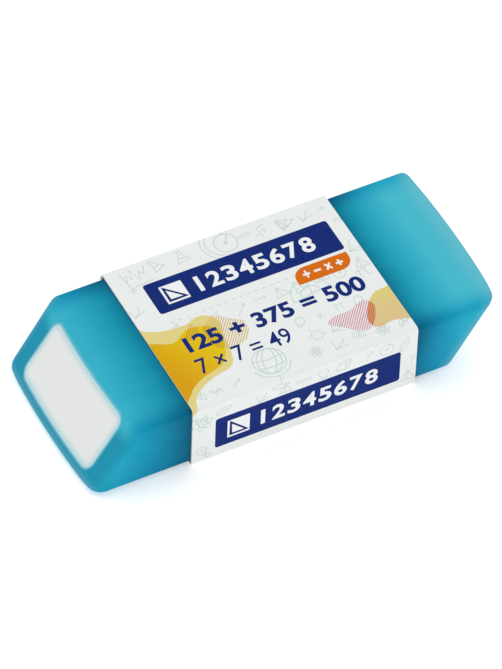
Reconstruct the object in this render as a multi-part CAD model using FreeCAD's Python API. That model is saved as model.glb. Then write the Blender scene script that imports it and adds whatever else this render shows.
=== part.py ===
"""Two-colour pencil eraser in a folded card sleeve.

A white core runs from end to end inside a see-through coloured shell. The stick is cut
off at a slant at both ends, so the core shows there. The sleeve is one strip of card,
folded round the stick and glued to itself on one narrow side. Friction holds it, and it
slides along the stick and off either end.

Millimetres. +X runs along the stick, +Y across it, +Z up. The origin is on the surface
that the sleeve rests on, under the middle of the stick. The glued side is the +Y side.
"""
import FreeCAD
import Part
import math
import os

V = FreeCAD.Vector

# ---- Stick: the shell and the core together -------------------------------------------
STICK_LENGTH = 45.8          # along the middle line, from cut face to cut face
STICK_WIDTH = 22.1
STICK_HEIGHT = 8.7
END_LEAN_DEG = 33.8          # how far the cut faces lean from upright
END_CROWN = 0.48             # how far a cut face bulges, square to itself
LONG_EDGE_RADIUS = 0.8       # the four edges along the stick
END_EDGE_RADIUS = 0.33       # the edges round the two cut faces

# ---- Core, seen in cross-section ------------------------------------------------------
SHELL_FRONT_WALL = 2.71      # shell beside the core, on the -Y side
SHELL_BACK_WALL = 3.15       # and on the +Y side
SHELL_TOP_WALL = 0.68        # the core lies a little high in the shell
SHELL_BOTTOM_WALL = 1.42
CORE_EDGE_RADIUS = 1.15

# ---- Card sleeve ----------------------------------------------------------------------
SLEEVE_LENGTH = 27.9
SLEEVE_OFFSET = 0.8          # its middle, from the middle of the stick
CARD_THICKNESS = 0.2
SLIDING_GAP = 0.06           # between the card and the flats of the stick
FOLD_RADIUS = 0.25           # inside the four folds
FLAP_END_GAP = 0.3           # from the free edge of each flap to the fold that it faces

# ---- Glue between the two flaps -------------------------------------------------------
GLUE_THICKNESS = 0.04
GLUE_SIDE_MARGIN = 0.8       # bare card along the free edges of the flaps
GLUE_END_MARGIN = 2.0        # bare card at both ends of the sleeve

# ---- Places that follow ---------------------------------------------------------------
LEAN = math.radians(END_LEAN_DEG)
CARD_FLOOR = CARD_THICKNESS                           # inner side of the bottom panel
STICK_BOTTOM = CARD_FLOOR + SLIDING_GAP
STICK_TOP = STICK_BOTTOM + STICK_HEIGHT
STICK_MIDDLE = (STICK_BOTTOM + STICK_TOP) / 2
STICK_SIDE = STICK_WIDTH / 2
CARD_CEILING = STICK_TOP + SLIDING_GAP                # inner side of the top panel
CARD_SIDE = STICK_SIDE + SLIDING_GAP                  # inner side of the side panels
OUTER_FLAP_SIDE = CARD_SIDE + CARD_THICKNESS + GLUE_THICKNESS
LAP_BOTTOM = CARD_FLOOR + FOLD_RADIUS + FLAP_END_GAP  # free edge of the inner flap
LAP_TOP = CARD_CEILING - FOLD_RADIUS - FLAP_END_GAP   # free edge of the outer flap


# ---- Outlines in the YZ plane ---------------------------------------------------------
def rounded_path(points, radius):
    """Edges of an open path of straight runs, with an arc at each inner point."""
    edges = []
    start = points[0]
    for before, corner, after in zip(points, points[1:], points[2:]):
        into = (corner - before).normalize()
        out = (after - corner).normalize()
        half_turn = into.getAngle(out) / 2
        reach = radius * math.tan(half_turn)
        first = corner - into * reach
        last = corner + out * reach
        to_centre = (out - into).normalize()
        middle = corner + to_centre * (radius / math.cos(half_turn) - radius)
        edges.append(Part.LineSegment(start, first).toShape())
        edges.append(Part.Arc(first, middle, last).toShape())
        start = last
    edges.append(Part.LineSegment(start, points[-1]).toShape())
    return edges


def rounded_rectangle(front, back, low, high, radius):
    """A rounded rectangle between y = front and back and z = low and high, as a face."""
    start = V(0, (front + back) / 2, low)
    corners = [V(0, back, low), V(0, back, high), V(0, front, high), V(0, front, low)]
    return Part.Face(Part.Wire(rounded_path([start] + corners + [start], radius)))


def along_x(face, length, middle):
    """The face pushed out to a solid of that length, with its middle at x = middle."""
    solid = face.extrude(V(length, 0, 0))
    solid.translate(V(middle - length / 2, 0, 0))
    return solid


# ---- The stick ------------------------------------------------------------------------
def crown_radius():
    """Radius of a cut face that bulges by END_CROWN over the stick's width."""
    return (STICK_SIDE ** 2 + END_CROWN ** 2) / (2 * END_CROWN)


def kept_by_cut(side):
    """The round block that a slanting cut leaves, at the right (1) or left (-1) end."""
    radius = crown_radius()
    reach = radius + STICK_LENGTH
    axis = V(math.sin(LEAN), 0, math.cos(LEAN))
    centre = V(side * (STICK_LENGTH / 2 - radius / math.cos(LEAN)), 0, STICK_MIDDLE)
    return Part.makeCylinder(radius, 2 * reach, centre - axis * reach, axis)


def is_cut_face(face):
    surface = face.Surface
    return isinstance(surface, Part.Cylinder) and abs(surface.Radius - crown_radius()) < 1e-6


def end_edge_radius():
    """The rounding of the cut faces, no larger than their rounded corners leave room for."""
    tightest_corner = LONG_EDGE_RADIUS * math.cos(LEAN)
    sharp_edge_angle = math.pi / 2 - LEAN
    room = tightest_corner * math.tan(sharp_edge_angle / 2)
    return min(END_EDGE_RADIUS, 0.95 * room)


def stick_envelope():
    """Outer shape of the whole stick, with its edges rounded."""
    blank_length = STICK_LENGTH + STICK_HEIGHT * math.tan(LEAN) + 2 * STICK_HEIGHT
    section = rounded_rectangle(
        -STICK_SIDE, STICK_SIDE, STICK_BOTTOM, STICK_TOP, LONG_EDGE_RADIUS
    )
    stick = along_x(section, blank_length, 0)
    for side in (1, -1):
        stick = stick.common(kept_by_cut(side))
    cut_edges = [edge for face in stick.Faces if is_cut_face(face) for edge in face.Edges]
    return stick.makeFillet(end_edge_radius(), cut_edges)


def core_blank():
    """The core as it is extruded, longer than the stick."""
    section = rounded_rectangle(
        -STICK_SIDE + SHELL_FRONT_WALL, STICK_SIDE - SHELL_BACK_WALL,
        STICK_BOTTOM + SHELL_BOTTOM_WALL, STICK_TOP - SHELL_TOP_WALL, CORE_EDGE_RADIUS,
    )
    return along_x(section, 2 * STICK_LENGTH, 0)


# ---- The sleeve -----------------------------------------------------------------------
def make_sleeve():
    """Card from the inner flap's free edge, once round the stick, to the outer flap's."""
    t = CARD_THICKNESS
    inner = [
        V(0, CARD_SIDE, LAP_BOTTOM),
        V(0, CARD_SIDE, CARD_CEILING),
        V(0, -CARD_SIDE, CARD_CEILING),
        V(0, -CARD_SIDE, CARD_FLOOR),
        V(0, OUTER_FLAP_SIDE, CARD_FLOOR),
        V(0, OUTER_FLAP_SIDE, LAP_TOP),
    ]
    outer = [
        V(0, CARD_SIDE + t, LAP_BOTTOM),
        V(0, CARD_SIDE + t, CARD_CEILING + t),
        V(0, -CARD_SIDE - t, CARD_CEILING + t),
        V(0, -CARD_SIDE - t, CARD_FLOOR - t),
        V(0, OUTER_FLAP_SIDE + t, CARD_FLOOR - t),
        V(0, OUTER_FLAP_SIDE + t, LAP_TOP),
    ]
    edges = rounded_path(inner, FOLD_RADIUS)
    edges.append(Part.LineSegment(inner[-1], outer[-1]).toShape())
    edges += rounded_path(outer, FOLD_RADIUS + t)
    edges.append(Part.LineSegment(outer[0], inner[0]).toShape())
    outline = Part.Wire(Part.__sortEdges__(edges))
    return along_x(Part.Face(outline), SLEEVE_LENGTH, SLEEVE_OFFSET)


def make_glue():
    """The film of glue between the inner flap and the outer one."""
    length = SLEEVE_LENGTH - 2 * GLUE_END_MARGIN
    height = LAP_TOP - LAP_BOTTOM - 2 * GLUE_SIDE_MARGIN
    corner = V(
        SLEEVE_OFFSET - length / 2,
        CARD_SIDE + CARD_THICKNESS,
        LAP_BOTTOM + GLUE_SIDE_MARGIN,
    )
    return Part.makeBox(length, GLUE_THICKNESS, height, corner)


# ---- Build and write ------------------------------------------------------------------
def main():
    envelope = stick_envelope()
    blank = core_blank()
    pieces = {
        "white_core": envelope.common(blank),
        "coloured_shell": envelope.cut(blank),
        "card_sleeve": make_sleeve(),
        "seam_glue": make_glue(),
    }
    os.makedirs("parts", exist_ok=True)
    for name, shape in pieces.items():
        box = shape.BoundBox
        print(
            f"{name}: valid {shape.isValid()}, solids {len(shape.Solids)}, "
            f"{shape.Volume:.1f} mm3, x {box.XMin:.2f} to {box.XMax:.2f}, "
            f"y {box.YMin:.2f} to {box.YMax:.2f}, z {box.ZMin:.2f} to {box.ZMax:.2f}"
        )
        shape.exportStep(f"parts/{name}.step")


main()
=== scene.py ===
# %% [markdown]
# # A two-colour eraser in its card sleeve
# The object is a slanted stick of soft vinyl: a white core runs through a see-through teal
# shell. A strip of printed card is folded round it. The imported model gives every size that
# matters, so it is loaded first and everything else is built around it.

import math
import random

import bpy
from mathutils import Matrix, Vector
from mathutils.geometry import delaunay_2d_cdt


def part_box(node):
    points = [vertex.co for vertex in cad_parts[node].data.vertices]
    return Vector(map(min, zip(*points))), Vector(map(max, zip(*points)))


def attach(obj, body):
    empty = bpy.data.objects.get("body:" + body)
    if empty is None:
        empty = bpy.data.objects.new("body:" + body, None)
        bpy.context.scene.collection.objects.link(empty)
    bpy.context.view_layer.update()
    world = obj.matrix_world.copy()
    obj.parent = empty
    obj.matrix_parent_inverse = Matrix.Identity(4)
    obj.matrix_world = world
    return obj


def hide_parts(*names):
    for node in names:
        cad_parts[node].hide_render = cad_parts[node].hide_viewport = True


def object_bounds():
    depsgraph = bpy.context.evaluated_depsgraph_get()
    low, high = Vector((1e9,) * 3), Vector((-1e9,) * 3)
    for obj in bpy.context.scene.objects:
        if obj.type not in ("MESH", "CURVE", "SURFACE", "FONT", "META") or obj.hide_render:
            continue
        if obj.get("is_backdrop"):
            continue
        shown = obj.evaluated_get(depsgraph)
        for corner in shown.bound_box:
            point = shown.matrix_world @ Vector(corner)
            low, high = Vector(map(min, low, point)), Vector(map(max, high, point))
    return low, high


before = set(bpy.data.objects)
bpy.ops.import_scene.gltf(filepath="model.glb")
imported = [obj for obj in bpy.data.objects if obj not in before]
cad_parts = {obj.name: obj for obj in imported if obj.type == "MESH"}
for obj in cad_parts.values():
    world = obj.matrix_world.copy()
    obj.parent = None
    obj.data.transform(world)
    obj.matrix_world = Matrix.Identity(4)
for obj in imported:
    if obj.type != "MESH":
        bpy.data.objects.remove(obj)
cad_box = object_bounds()

# %% [markdown]
# Everything is drawn in millimetres, which is how a maker thinks of a thing this small, and
# turned to metres when a mesh is made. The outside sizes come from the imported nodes.
# The stick leans over at both ends, so its length is the one along its middle line.

# %% Sizes in millimetres
MM = 0.001
shell_low, shell_high = [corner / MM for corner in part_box("coloured_shell")]
core_low, core_high = [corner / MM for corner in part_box("white_core")]
sleeve_low, sleeve_high = [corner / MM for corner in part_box("card_sleeve")]

STICK_LENGTH = 45.8          # along the middle line
LEAN = math.radians(33.8)    # of the cut faces, from upright
CROWN = 0.48                 # bulge of a cut face
LONG_EDGE = 0.8              # rounding of the edges along the stick
CORE_EDGE = 1.15             # and of the core's
CARD = 0.2                   # thickness of the card
FOLD = 0.25                  # inside radius of a fold
GLUE = 0.04                  # thickness of the glue
FLAP_GAP = 0.3               # from a flap's free edge to the fold that it faces

stick_half_width = (shell_high.y - shell_low.y) / 2
stick_half_height = (shell_high.z - shell_low.z) / 2
stick_middle = (shell_high.z + shell_low.z) / 2
core_half_width = (core_high.y - core_low.y) / 2
core_half_height = (core_high.z - core_low.z) / 2
core_off_middle = Vector((
    (core_high.y + core_low.y) / 2,
    (core_high.z + core_low.z) / 2 - stick_middle,
))
sleeve_left = sleeve_low.x
sleeve_right = sleeve_high.x
card_floor = CARD
card_ceiling = sleeve_high.z - CARD
card_side = -sleeve_low.y - CARD
print(f"stick {2 * stick_half_width:.2f} x {2 * stick_half_height:.2f}, middle {stick_middle:.2f}")
print(f"core {2 * core_half_width:.2f} x {2 * core_half_height:.2f}")
print("core off the stick's middle by", [round(v, 2) for v in core_off_middle])
print(f"sleeve x {sleeve_left:.2f} to {sleeve_right:.2f}, ceiling {card_ceiling:.2f}")

# %% [markdown]
# Node trees are easier to read when their arithmetic looks like arithmetic. A flow is one
# node's output, and a sum of flows adds the arithmetic node that works it out. A socket is
# filled by a link where it is given a flow, and set where it is given a plain number.

# %% Nodes, and sums of their outputs
class Flow:
    """One node's output, which can be used in sums."""

    def __init__(self, tree, socket):
        self.tree = tree
        self.socket = socket

    def calc(self, operation, *values):
        inputs = {0: self, **dict(enumerate(values, 1))}
        return flow(self.tree, "ShaderNodeMath", inputs, operation=operation)

    def __add__(self, other):
        return self.calc("ADD", other)

    def __sub__(self, other):
        return self.calc("SUBTRACT", other)

    def __mul__(self, other):
        return self.calc("MULTIPLY", other)

    def __truediv__(self, other):
        return self.calc("DIVIDE", other)

    def __abs__(self):
        return self.calc("ABSOLUTE")

    def at_least(self, other):
        return self.calc("MAXIMUM", other)

    def at_most(self, other):
        return self.calc("MINIMUM", other)


def fill(tree, socket, value):
    """Link a flow to a socket, or set a plain value."""
    if isinstance(value, Flow):
        tree.links.new(value.socket, socket)
    else:
        socket.default_value = value


def add_node(tree, kind, inputs=None, **settings):
    """A new node with its settings made and its sockets filled."""
    made = tree.nodes.new(kind)
    for key, value in settings.items():
        setattr(made, key, value)
    for key, value in (inputs or {}).items():
        fill(tree, made.inputs[key], value)
    return made


def flow(tree, kind, inputs=None, output=0, **settings):
    """One output of a new node."""
    return Flow(tree, add_node(tree, kind, inputs, **settings).outputs[output])


def flows(tree, kind, inputs=None, **settings):
    """All the outputs of a new node, by name."""
    made = add_node(tree, kind, inputs, **settings)
    return {socket.name: Flow(tree, socket) for socket in made.outputs}


print("blender", bpy.app.version_string)

# %% [markdown]
# A geometry tree starts with its named inputs and one output. It is run on a throwaway
# object, which is turned to a plain mesh at once.

# %% Trees and objects
def new_tree(name, inputs, output):
    """A geometry tree with named inputs and one output, and the flows from its inputs."""
    tree = bpy.data.node_groups.new(name, "GeometryNodeTree")
    for label, kind in inputs.items():
        tree.interface.new_socket(name=label, in_out="INPUT", socket_type="NodeSocket" + kind)
    tree.interface.new_socket(name=output, in_out="OUTPUT", socket_type="NodeSocketGeometry")
    return tree, flows(tree, "NodeGroupInput")


def link_object(name, data):
    """A new object in the scene, at the origin."""
    thing = bpy.data.objects.new(name, data)
    bpy.context.scene.collection.objects.link(thing)
    return thing


def made_plain(thing):
    """The plain mesh that an object comes to, with the object removed."""
    graph = bpy.context.evaluated_depsgraph_get()
    mesh = bpy.data.meshes.new_from_object(thing.evaluated_get(graph))
    bpy.data.objects.remove(thing)
    return mesh


def run_tree(tree, mesh, values):
    """The plain mesh that a node tree makes of a mesh, with its named inputs set."""
    thing = link_object("blank", mesh)
    modifier = thing.modifiers.new("tree", "NODES")
    modifier.node_group = tree
    for item in tree.interface.items_tree:
        if item.in_out == "INPUT" and item.name in values:
            modifier[item.identifier] = values[item.name]
    return made_plain(thing)


# %% [markdown]
# Colours are given as the 0 to 255 numbers of a paint chart and turned to the linear light
# that the shaders need. Paints are laid over each other by a share, or laid out as stops
# along a value, as on a colour chart.

# %% Helpers for paints
def paint(red, green, blue):
    """A chart colour as linear light, with full cover."""
    channels = [value / 255 for value in (red, green, blue)]
    light = [c / 12.92 if c < 0.04045 else ((c + 0.055) / 1.055) ** 2.4 for c in channels]
    return tuple(light) + (1.0,)


def new_material(name):
    """An empty material with its shader and its output joined."""
    material = bpy.data.materials.new(name)
    material.use_nodes = True
    tree = material.node_tree
    tree.nodes.clear()
    shader = add_node(tree, "ShaderNodeBsdfPrincipled")
    light = Flow(tree, shader.outputs["BSDF"])
    add_node(tree, "ShaderNodeOutputMaterial", {"Surface": light})
    return material, tree, shader


def mix_paint(tree, share, first, second, blend="MIX"):
    """One paint over another by that share."""
    inputs = {"Factor": share, 6: first, 7: second}
    return flow(tree, "ShaderNodeMix", inputs, 2, data_type="RGBA", blend_type=blend)


def ramp(tree, value, *stops):
    """Paint stops along a value from 0 to 1."""
    node = add_node(tree, "ShaderNodeValToRGB", {"Fac": value})
    while len(node.color_ramp.elements) < len(stops):
        node.color_ramp.elements.new(0.5)
    for element, (place, colour) in zip(node.color_ramp.elements, stops):
        element.position = place
        element.color = colour
    return Flow(tree, node.outputs["Color"])


print("middle grey of the chart as light:", round(paint(128, 128, 128)[0], 3))

# %% [markdown]
# Relief and wear come from noise. Its scale is given in lumps to the metre, so a grain of
# 9000 is about a tenth of a millimetre, and a stretch draws it out along the stick. A range
# eases a value from one pair of limits to another. Bumps are stacked, each with its depth.

# %% Helpers for grain and relief
def smooth_range(tree, value, low, high, out_low=0.0, out_high=1.0):
    """The value eased from one range to another."""
    inputs = {0: value, 1: low, 2: high, 3: out_low, 4: out_high}
    return flow(tree, "ShaderNodeMapRange", inputs, interpolation_type="SMOOTHSTEP")


def bump(tree, shader, *layers):
    """Stacked bumps, each a height output with its strength and its depth in metres."""
    normal = None
    for height, strength, depth in layers:
        inputs = {"Height": height, "Strength": strength, "Distance": depth}
        if normal is not None:
            inputs["Normal"] = normal
        normal = flow(tree, "ShaderNodeBump", inputs)
    fill(tree, shader.inputs["Normal"], normal)


def noise(tree, place, per_metre, detail=2.0, stretch=(1.0, 1.0, 1.0)):
    """Noise with that many lumps to the metre, stretched along the axes."""
    mapped = flow(tree, "ShaderNodeMapping", {"Vector": place, "Scale": stretch})
    inputs = {"Vector": mapped, "Scale": per_metre, "Detail": detail}
    return flow(tree, "ShaderNodeTexNoise", inputs, "Fac")


def set_surface(tree, shader, colour, roughness, specular=None):
    """The colour and the roughness filled, and the specular level set where given."""
    fill(tree, shader.inputs["Base Color"], colour)
    fill(tree, shader.inputs["Roughness"], roughness)
    if specular is not None:
        shader.inputs["Specular IOR Level"].default_value = specular
    print("nodes in the material:", len(tree.nodes))


def object_place(tree):
    """Object coordinates, which stay with the piece."""
    return flow(tree, "ShaderNodeTexCoord", None, "Object")


print("a grain of 9000 to the metre, in mm:", round(1 / 9000.0 / MM, 3))

# %% [markdown]
# ## The stick
# The stick's cross-section is a rounded rectangle, the same from end to end, and its ends are
# cut on a slant with a slight bulge. It could be a box with modifiers, but then the slanted
# ends and the core would need boolean cuts. Here rings of points run once round the section
# instead, and the shell is lofted through them: over the outside, across the cut faces and
# back along the bore. That gives clean quads and a core that meets the shell exactly.

# %% The outline of the cross-section
def rounded_outline(half_width, half_height, radius, across=30, up=8, round_steps=7):
    """Points (y, z) round a rounded rectangle, anticlockwise, on the flats and the corners."""
    turns = ((1, 1), (-1, 1), (-1, -1), (1, -1))
    points = []
    right_angle = math.radians(90)
    for quarter, (side_y, side_z) in enumerate(turns):
        centre = Vector((side_y * (half_width - radius), side_z * (half_height - radius)))
        next_y, next_z = turns[(quarter + 1) % 4]
        next_centre = Vector((next_y * (half_width - radius), next_z * (half_height - radius)))
        for step in range(round_steps + 1):
            angle = right_angle * (quarter + step / round_steps)
            points.append(centre + radius * Vector((math.cos(angle), math.sin(angle))))
        angle = right_angle * (quarter + 1)
        outward = radius * Vector((math.cos(angle), math.sin(angle)))
        flat_steps = across if quarter % 2 == 0 else up
        for step in range(1, flat_steps):
            points.append(centre.lerp(next_centre, step / flat_steps) + outward)
    return points


crown_radius = (stick_half_width ** 2 + CROWN ** 2) / (2 * CROWN)


def cut_x(side, y, z):
    """Where a slanting cut is at height z above the middle line. Side is 1 or -1."""
    bulge = crown_radius - math.sqrt(crown_radius ** 2 - y * y)
    return side * STICK_LENGTH / 2 + z * math.tan(LEAN) - side * bulge / math.cos(LEAN)


outer_line = rounded_outline(stick_half_width, stick_half_height, LONG_EDGE)
core_outline = rounded_outline(core_half_width, core_half_height, CORE_EDGE)
core_line = [p + core_off_middle for p in core_outline]
print("points in a section:", len(outer_line))

# %% [markdown]
# The edges round the cut faces are softly rounded, more so at the stick's sides. Each ring of
# the rounding is a point on a curve that leaves the side of the stick and arrives on the cut
# face, with the sharp corner as its control point. The weight makes it very nearly an arc.

# %% The rounded rim and the cut face
RIM_ON_SIDE = {"sharp": 1.7, "blunt": 0.8}     # reach along the stick at its sides
RIM_ON_FLAT = {"sharp": 0.85, "blunt": 0.5}    # and on its flats
RIM_CRISP = 0.8          # reach at the right end's far side, which is less worn
RIM_BLEND = 2.6          # over which the flats' reach runs into the sides'
RIM_IN_FROM_SIDE = 1.25  # where the rounding ends on the cut face
RIM_IN_FROM_FLAT = 0.66
RIM_CORNER = 0.75
RIM_STEPS = 8
FACE_RINGS = 5
rim_line = rounded_outline(
    stick_half_width - RIM_IN_FROM_SIDE, stick_half_height - RIM_IN_FROM_FLAT, RIM_CORNER
)
print("rings in a rim:", RIM_STEPS + 1, "and on a cut face:", FACE_RINGS)


def on_cut(side, point):
    """A point of the cross-section moved along the stick to a cut."""
    return Vector((cut_x(side, point.x, point.y), point.x, point.y))


def ease(share):
    """0 to 1, clamped, with a soft start and a soft end."""
    share = min(1.0, max(0.0, share))
    return share * share * (3 - 2 * share)


def rim_reach(side, outer):
    """How far the rounding reaches along the stick from a point of the outline."""
    sharpness = 0.5 + 0.5 * side * outer.y / stick_half_height
    sideways = ease((abs(outer.x) - stick_half_width + RIM_BLEND) / RIM_BLEND)
    on_side, on_flat = [
        reach["blunt"] + (reach["sharp"] - reach["blunt"]) * sharpness
        for reach in (RIM_ON_SIDE, RIM_ON_FLAT)
    ]
    if side > 0 and outer.x > 0:
        on_side = RIM_CRISP
    return on_flat + (on_side - on_flat) * sideways


def rim_rings(side):
    """Rings from the side of the stick onto a cut face."""
    rings = []
    for step in range(RIM_STEPS + 1):
        along = step / RIM_STEPS
        ring = []
        for outer, inner in zip(outer_line, rim_line):
            corner = on_cut(side, outer)
            start = corner - Vector((side * rim_reach(side, outer), 0, 0))
            end = on_cut(side, inner)
            opening = (start - corner).normalized().dot((end - corner).normalized())
            weight = math.sqrt((1 - opening) / 2)
            first = (1 - along) ** 2
            middle = 2 * weight * along * (1 - along)
            last = along ** 2
            whole = first + middle + last
            ring.append((first * start + middle * corner + last * end) / whole)
        rings.append(ring)
    return rings


def face_rings(side):
    """Rings across a cut face, from the rim to the border of the core."""
    rings = []
    for step in range(1, FACE_RINGS + 1):
        pairs = zip(rim_line, core_line)
        rings.append([on_cut(side, rim.lerp(core, step / FACE_RINGS)) for rim, core in pairs])
    return rings

# %% [markdown]
# A loft joins neighbouring rings with quads. The shell's rings go round and come back, so the
# first follows the last again.

# %% Loft the shell
SHARP_ANGLE = math.radians(40)


def mesh_piece(name, points, faces):
    """A new object at the origin from points in millimetres, above the stick's middle line."""
    mesh = bpy.data.meshes.new(name)
    mesh.from_pydata([(p.x * MM, p.y * MM, (p.z + stick_middle) * MM) for p in points], [], faces)
    mesh.validate()
    mesh.shade_smooth()
    mesh.set_sharp_from_angle(angle=SHARP_ANGLE)
    print(name, "faces:", len(mesh.polygons))
    return link_object(name, mesh)


def quads_between(count, first, second):
    """Faces between the rings that start at those point numbers."""
    return [
        (first + i, first + (i + 1) % count, second + (i + 1) % count, second + i)
        for i in range(count)
    ]


left_rings = (rim_rings(-1) + face_rings(-1))[::-1]
right_rings = rim_rings(1) + face_rings(1)
shell_rings = left_rings + right_rings
ring_size = len(outer_line)
shell_faces = []
for number in range(len(shell_rings)):
    following = (number + 1) % len(shell_rings)
    shell_faces += quads_between(ring_size, number * ring_size, following * ring_size)
teal_shell = mesh_piece("teal_shell", [p for ring in shell_rings for p in ring], shell_faces)

# %% [markdown]
# The core's rings lie on its two cut faces and grow from the middle out to the border, where
# they meet the shell's, so the two pieces share that line exactly.

# %% Loft the core
CORE_SHARES = (0.15, 0.35, 0.55, 0.75, 0.9, 1.0)


def core_ring(side, share):
    """A ring on a cut, that share of the way from the core's middle to its border."""
    return [on_cut(side, core_off_middle.lerp(p, share)) for p in core_line]


core_rings = [core_ring(-1, share) for share in CORE_SHARES]
core_rings += [core_ring(1, share) for share in reversed(CORE_SHARES)]
core_points = [p for ring in core_rings for p in ring]
core_faces = []
for number in range(len(core_rings) - 1):
    core_faces += quads_between(ring_size, number * ring_size, (number + 1) * ring_size)
last_ring = (len(core_rings) - 1) * ring_size
left_pole = len(core_points)
core_points += [on_cut(-1, core_off_middle), on_cut(1, core_off_middle)]
for i in range(ring_size):
    after = (i + 1) % ring_size
    core_faces.append((left_pole, after, i))
    core_faces.append((left_pole + 1, last_ring + i, last_ring + after))
white_bar = mesh_piece("white_bar", core_points, core_faces)

# %% [markdown]
# ## Soft vinyl
# The shell is see-through: light goes in at the cut ends and fades towards the sleeve, and
# over the white core the thin wall looks paler than the thick walls beside it. True light
# scattering would show this, but it is slow and it is lost when the model leaves Blender. So
# this light and shade is painted into the colour instead, worked out from two distances: how
# far a point is from the sleeve's place, and how far from the core.

# %% Distances that the vinyl's colour follows
SLEEVE_REACH = (sleeve_right - sleeve_left) / 2
SLEEVE_MIDDLE = (sleeve_right + sleeve_left) / 2
print(f"the sleeve reaches {SLEEVE_REACH:.2f} each way from x = {SLEEVE_MIDDLE:.2f}")


def stick_place(tree):
    """Object coordinates in millimetres: x, y, and z from the stick's middle line."""
    where = object_place(tree)
    parts = flows(tree, "ShaderNodeSeparateXYZ", {0: where})
    return where, parts["X"] / MM, parts["Y"] / MM, parts["Z"] / MM - stick_middle


def core_distance(y, z):
    """Distance from the core's border in the cross-section, less than 0 inside."""
    out_y = abs(y - core_off_middle.x) - (core_half_width - CORE_EDGE)
    out_z = abs(z - core_off_middle.y) - (core_half_height - CORE_EDGE)
    squares = out_y.at_least(0.0).calc("POWER", 2.0) + out_z.at_least(0.0).calc("POWER", 2.0)
    inside = out_y.at_least(out_z).at_most(0.0)
    return squares.calc("SQRT") + inside - CORE_EDGE


def end_depth(x, z, side):
    """Distance in from a cut face, square to it."""
    return ((z * math.tan(LEAN) - x) * side + STICK_LENGTH / 2) * math.cos(LEAN)

# %% [markdown]
# The teal is mixed from two charts, one for the thick walls and one for the thin wall over
# the core. Both go from a painted shade under the sleeve, which keeps the light off, to
# painted light at the ends, and the right end gets a little more painted light than the left.
# The thick walls also get a painted shade, darker towards the bottom. All distances are in
# millimetres.

# %% Depth of the teal, with painted light and shade
teal_vinyl, tree, shader = new_material("teal vinyl")
where, x, y, z = stick_place(tree)
# painted shade near the sleeve and painted light towards the ends, by distance from the sleeve
from_sleeve = abs(x - SLEEVE_MIDDLE) - SLEEVE_REACH
wander = noise(tree, where, 260.0, 2.0, (0.6, 1.0, 1.0)) * 1.6 - 0.8
right_depth = end_depth(x, z, 1.0)
# painted light: the teal pales further towards the right end
painted_light_right_end = smooth_range(tree, right_depth, 9.5, 1.0, 0.0, 3.2)
chart_place = (from_sleeve + wander + painted_light_right_end) * 0.09 + 0.2
thick_wall = ramp(
    tree, chart_place,
    (0.0, paint(0, 90, 124)), (0.22, paint(0, 87, 119)), (0.36, paint(3, 106, 140)),
    (0.5, paint(5, 126, 162)), (0.7, paint(8, 144, 180)), (1.0, paint(20, 162, 194)),
)
thin_wall = ramp(
    tree, chart_place,
    (0.0, paint(8, 124, 153)), (0.22, paint(7, 121, 149)), (0.36, paint(18, 147, 175)),
    (0.5, paint(34, 160, 188)), (0.7, paint(48, 172, 199)), (1.0, paint(70, 186, 205)),
)
to_core = core_distance(y, z)
over_core = smooth_range(tree, to_core, 3.4, 0.7)
# painted shade: the thick walls are darker towards the bottom
painted_shade_by_height = smooth_range(tree, z, -stick_half_height, 2.5, 0.8, 1.0)
thick_wall_low_shade = mix_paint(tree, painted_shade_by_height, paint(0, 92, 130), thick_wall)
body = mix_paint(tree, over_core, thick_wall_low_shade, thin_wall)
print("nodes for the depth of the teal:", len(tree.nodes))

# %% [markdown]
# The cut ends differ, and most of this is painted light and shade. The right one has painted
# light at its rim. Round the left one the ring has a painted shade on its lower part and painted
# light at its far and lower edges, where light gets in. A thin pale line runs round the core,
# where the white shines through.

# %% The two ends of the teal
# painted light: the right end is paler at its rim
painted_light_right_rim = smooth_range(tree, right_depth, 2.8, 0.1, 0.0, 0.5)
body = mix_paint(tree, painted_light_right_rim, body, paint(128, 192, 206))
# painted shade: the lower part of the ring round the left cut is deeper
on_left_cut = smooth_range(tree, end_depth(x, z, -1.0), 1.3, 0.1)
painted_shade_low = smooth_range(tree, z, 3.4, 1.6)
clear_of_core = smooth_range(tree, to_core, -0.1, 0.3, 0.0, 0.85)
body = mix_paint(tree, on_left_cut * painted_shade_low * clear_of_core, body, paint(6, 134, 168))
# painted light: the left cut is paler at its far and lower edges
from_far_flank = y * -1.0 + stick_half_width
from_edge = from_far_flank.at_most(z + stick_half_height)
painted_light_left_edge = on_left_cut * smooth_range(tree, from_edge, 1.5, 0.0, 0.0, 0.6)
body = mix_paint(tree, painted_light_left_edge, body, paint(116, 184, 200))
glow = smooth_range(tree, to_core, 0.35, 0.0, 0.0, 0.4)
body = mix_paint(tree, glow, body, paint(176, 216, 222))
print("nodes for the teal's colour:", len(tree.nodes))

# %% [markdown]
# The surface has the fine lines that the extruder leaves along the stick, a grain, and
# scuffs from handling that break up the gloss.

# %% The teal's surface
grain = noise(tree, where, 9000.0, 3.0)
drawn_lines = noise(tree, where, 3200.0, 2.0, (0.02, 1.0, 1.0))
scuffs = noise(tree, where, 900.0, 4.0, (0.35, 1.0, 1.0))
gloss = smooth_range(tree, scuffs, 0.35, 0.7, 0.5, 0.64)
shader.inputs["IOR"].default_value = 1.45
set_surface(tree, shader, body, gloss, 0.06)
bump(tree, shader, (drawn_lines, 0.35, 0.00004), (grain, 0.25, 0.00003))

# %% [markdown]
# The core is chalk-filled vinyl: matt white, with a grain of fine filler. Where it meets the
# shell the teal has crept into it a little, so the border is soft and not a hard line.

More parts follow.
